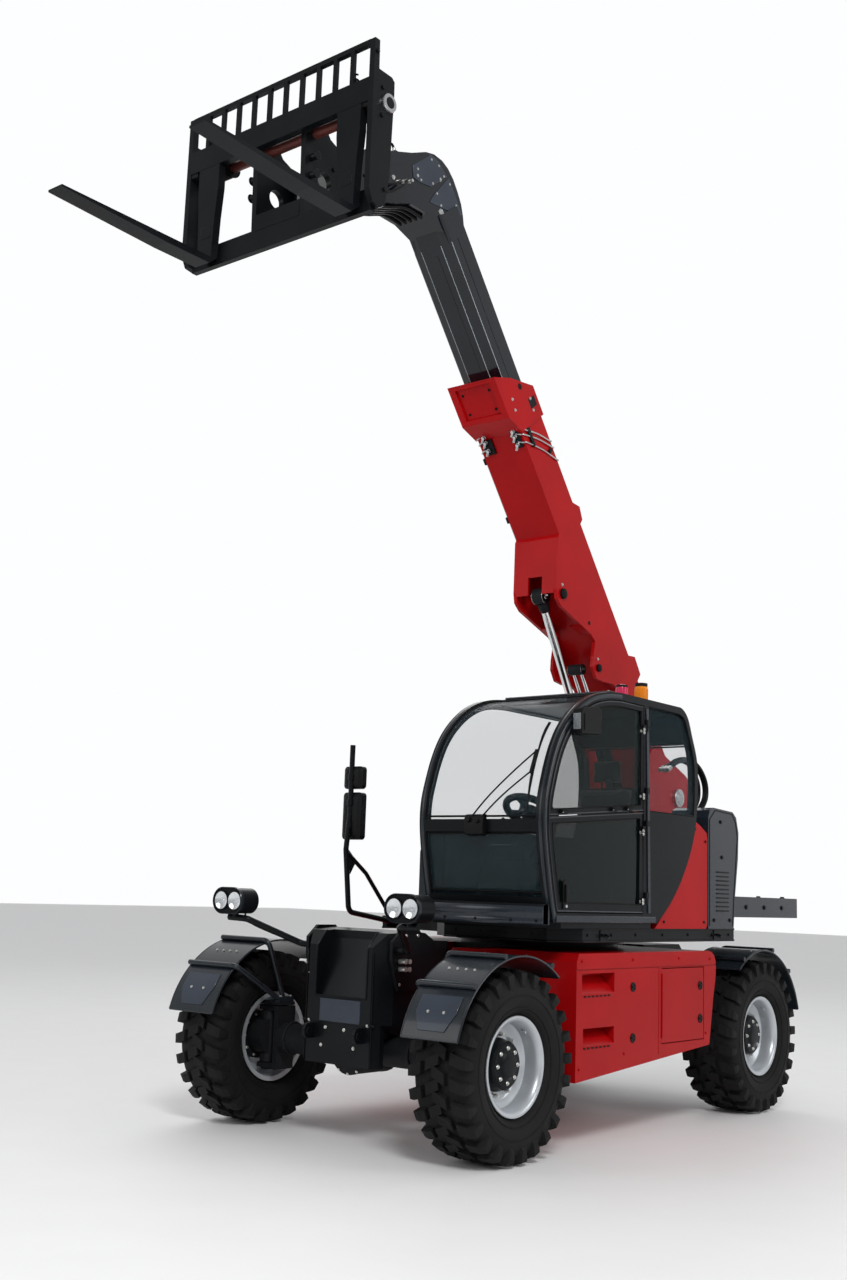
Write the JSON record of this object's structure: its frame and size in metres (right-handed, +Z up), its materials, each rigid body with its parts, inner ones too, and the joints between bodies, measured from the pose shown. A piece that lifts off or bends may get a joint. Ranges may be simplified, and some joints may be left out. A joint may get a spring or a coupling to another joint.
{
  "type": "rotating telehandler",
  "caption": "Rotating telehandler with a red telescopic boom, slewing cab and turret, fork carriage, four steered wheels and a two-leaf cab door",
  "frame": {"origin": "centre of the bounding box, on the ground", "axes": "+X towards the machine's left, -Y towards its front, +Z up"},
  "size_m": [2.314, 6.31, 6.622],
  "materials": {
    "black_steel": "satin",
    "black_plastic": "matte",
    "red_paint": "gloss",
    "engine_metal": "matte",
    "clear_glass": "gloss",
    "seat_fabric": "matte",
    "amber_lens": "gloss",
    "chrome_rod": "polished",
    "bright_steel": "satin",
    "fork_steel": "matte",
    "tyre_rubber": "matte",
    "rim_grey": "satin"
  },
  "bodies": {
    "chassis": {"chassis_frame": "black_steel", "axle_housings": "black_steel", "left_side_body": "red_paint", "right_engine_bay": "red_paint", "engine": "engine_metal", "headlamps": "black_plastic"},
    "hatch": {"battery_hatch": "red_paint"},
    "hood": {"engine_hood": "red_paint"},
    "turret": {"turret_base": "black_steel", "counterweight": "black_steel", "rear_cowls": "black_plastic", "boom_tower": "red_paint", "side_panel": "red_paint", "cab_frame": "black_plastic", "cab_glass": "clear_glass", "operator_seat": "seat_fabric", "controls": "black_plastic", "roof_lights": "amber_lens", "mirrors": "black_steel"},
    "door_top": {"upper_door": "black_plastic", "upper_door_glass": "clear_glass"},
    "door_bottom": {"lower_door": "black_plastic", "lower_door_glass": "clear_glass"},
    "lift_barrel": {"lift_cylinder": "black_steel"},
    "lift_piston": {"lift_rod": "chrome_rod"},
    "level_barrel": {"levelling_cylinder": "black_steel"},
    "level_piston": {"levelling_rod": "chrome_rod"},
    "boom": {"boom_outer": "red_paint"},
    "extension": {"boom_inner": "black_steel"},
    "level_link": {"carriage_pin": "bright_steel"},
    "carriage": {"fork_carriage": "black_steel", "forks": "fork_steel"},
    "steer_front_left": {"knuckle_front_left": "black_steel", "fender_front_left": "black_plastic"},
    "wheel_front_left": {"rim_front_left": "rim_grey", "tyre_front_left": "tyre_rubber"},
    "steer_front_right": {"knuckle_front_right": "black_steel", "fender_front_right": "black_plastic"},
    "wheel_front_right": {"rim_front_right": "rim_grey", "tyre_front_right": "tyre_rubber"},
    "steer_rear_left": {"knuckle_rear_left": "black_steel", "fender_rear_left": "black_plastic"},
    "wheel_rear_left": {"rim_rear_left": "rim_grey", "tyre_rear_left": "tyre_rubber"},
    "steer_rear_right": {"knuckle_rear_right": "black_steel", "fender_rear_right": "black_plastic"},
    "wheel_rear_right": {"rim_rear_right": "rim_grey", "tyre_rear_right": "tyre_rubber"}
  },
  "joints": [
    {"name": "steer_front_left", "type": "hinge", "parent": "chassis", "child": "steer_front_left", "pos_m": [0.84, -0.945, 0.5375], "axis": [0, 0, 1], "range_deg": [-30, 30]},
    {"name": "wheel_front_left", "type": "hinge", "parent": "steer_front_left", "child": "wheel_front_left", "pos_m": [0.9545, -0.945, 0.5375], "axis": [1, 0, 0], "continuous": true},
    {"name": "steer_front_right", "type": "hinge", "parent": "chassis", "child": "steer_front_right", "pos_m": [-0.84, -0.945, 0.5375], "axis": [0, 0, 1], "range_deg": [-30, 30]},
    {"name": "wheel_front_right", "type": "hinge", "parent": "steer_front_right", "child": "wheel_front_right", "pos_m": [-0.9545, -0.945, 0.5375], "axis": [1, 0, 0], "continuous": true},
    {"name": "steer_rear_left", "type": "hinge", "parent": "chassis", "child": "steer_rear_left", "pos_m": [0.84, 2.135, 0.5375], "axis": [0, 0, 1], "range_deg": [-30, 30]},
    {"name": "wheel_rear_left", "type": "hinge", "parent": "steer_rear_left", "child": "wheel_rear_left", "pos_m": [0.9545, 2.135, 0.5375], "axis": [1, 0, 0], "continuous": true},
    {"name": "steer_rear_right", "type": "hinge", "parent": "chassis", "child": "steer_rear_right", "pos_m": [-0.84, 2.135, 0.5375], "axis": [0, 0, 1], "range_deg": [-30, 30]},
    {"name": "wheel_rear_right", "type": "hinge", "parent": "steer_rear_right", "child": "wheel_rear_right", "pos_m": [-0.9545, 2.135, 0.5375], "axis": [1, 0, 0], "continuous": true},
    {"name": "slew", "type": "hinge", "parent": "chassis", "child": "turret", "pos_m": [0, 0.905, 1.1705], "axis": [0, 0, 1], "continuous": true},
    {"name": "boom_lift", "type": "hinge", "parent": "turret", "child": "boom", "pos_m": [-0.18, 2.775, 2.32], "axis": [-1, 0, 0], "range_deg": [-55, 22.5]},
    {"name": "boom_extend", "type": "slide", "parent": "boom", "child": "extension", "axis": [0, -0.6239, 0.7815], "range_m": [-1, 1.85]},
    {"name": "fork_level", "type": "hinge", "parent": "extension", "child": "level_link", "pos_m": [-0.18, -1.525, 5.99], "axis": [1, 0, 0], "range_deg": [-55, 22.5]},
    {"name": "fork_tilt", "type": "hinge", "parent": "level_link", "child": "carriage", "pos_m": [-0.18, -1.525, 5.99], "axis": [1, 0, 0], "range_deg": [-15, 45]},
    {"name": "lift_cylinder_swing", "type": "hinge", "parent": "turret", "child": "lift_barrel", "pos_m": [-0.18, 2.355, 1.65], "axis": [-1, 0, 0], "range_deg": [-52.29, 21.4]},
    {"name": "lift_rod_slide", "type": "slide", "parent": "lift_barrel", "child": "lift_piston", "axis": [0, -0.5141, 0.8577], "range_m": [-0.7255, 0.2971]},
    {"name": "levelling_cylinder_swing", "type": "hinge", "parent": "turret", "child": "level_barrel", "pos_m": [-0.18, 2.555, 1.85], "axis": [-1, 0, 0], "range_deg": [-50.99, 20.87]},
    {"name": "levelling_rod_slide", "type": "slide", "parent": "level_barrel", "child": "level_piston", "axis": [0, -0.5568, 0.8306], "range_m": [-0.4694, 0.1923]},
    {"name": "upper_door_hinge", "type": "hinge", "parent": "turret", "child": "door_top", "pos_m": [1.132, 0.457, 2.38], "axis": [0, 0, 1], "range_deg": [0, 160]},
    {"name": "lower_door_hinge", "type": "hinge", "parent": "turret", "child": "door_bottom", "pos_m": [1.132, 0.457, 1.72], "axis": [0, 0, 1], "range_deg": [0, 85]},
    {"name": "battery_hatch_hinge", "type": "hinge", "parent": "chassis", "child": "hatch", "pos_m": [1.104, 0.727, 0.8], "axis": [0, 0, -1], "range_deg": [0, 100]},
    {"name": "engine_hood_hinge", "type": "hinge", "parent": "chassis", "child": "hood", "pos_m": [-1.104, 0.555, 1.058], "axis": [0, 1, 0], "range_deg": [0, 85]}
  ],
  "couplings": [
    {"joint": "steer_front_right", "follows": "steer_front_left", "ratio": 1},
    {"joint": "steer_rear_right", "follows": "steer_rear_left", "ratio": 1},
    {"joint": "fork_level", "follows": "boom_lift", "ratio": 1},
    {"joint": "lift_cylinder_swing", "follows": "boom_lift", "ratio": 0.95055},
    {"joint": "lift_rod_slide", "follows": "boom_lift", "m_per_rad": 0.75528},
    {"joint": "levelling_cylinder_swing", "follows": "boom_lift", "ratio": 0.92697},
    {"joint": "levelling_rod_slide", "follows": "boom_lift", "m_per_rad": 0.48844}
  ]
}
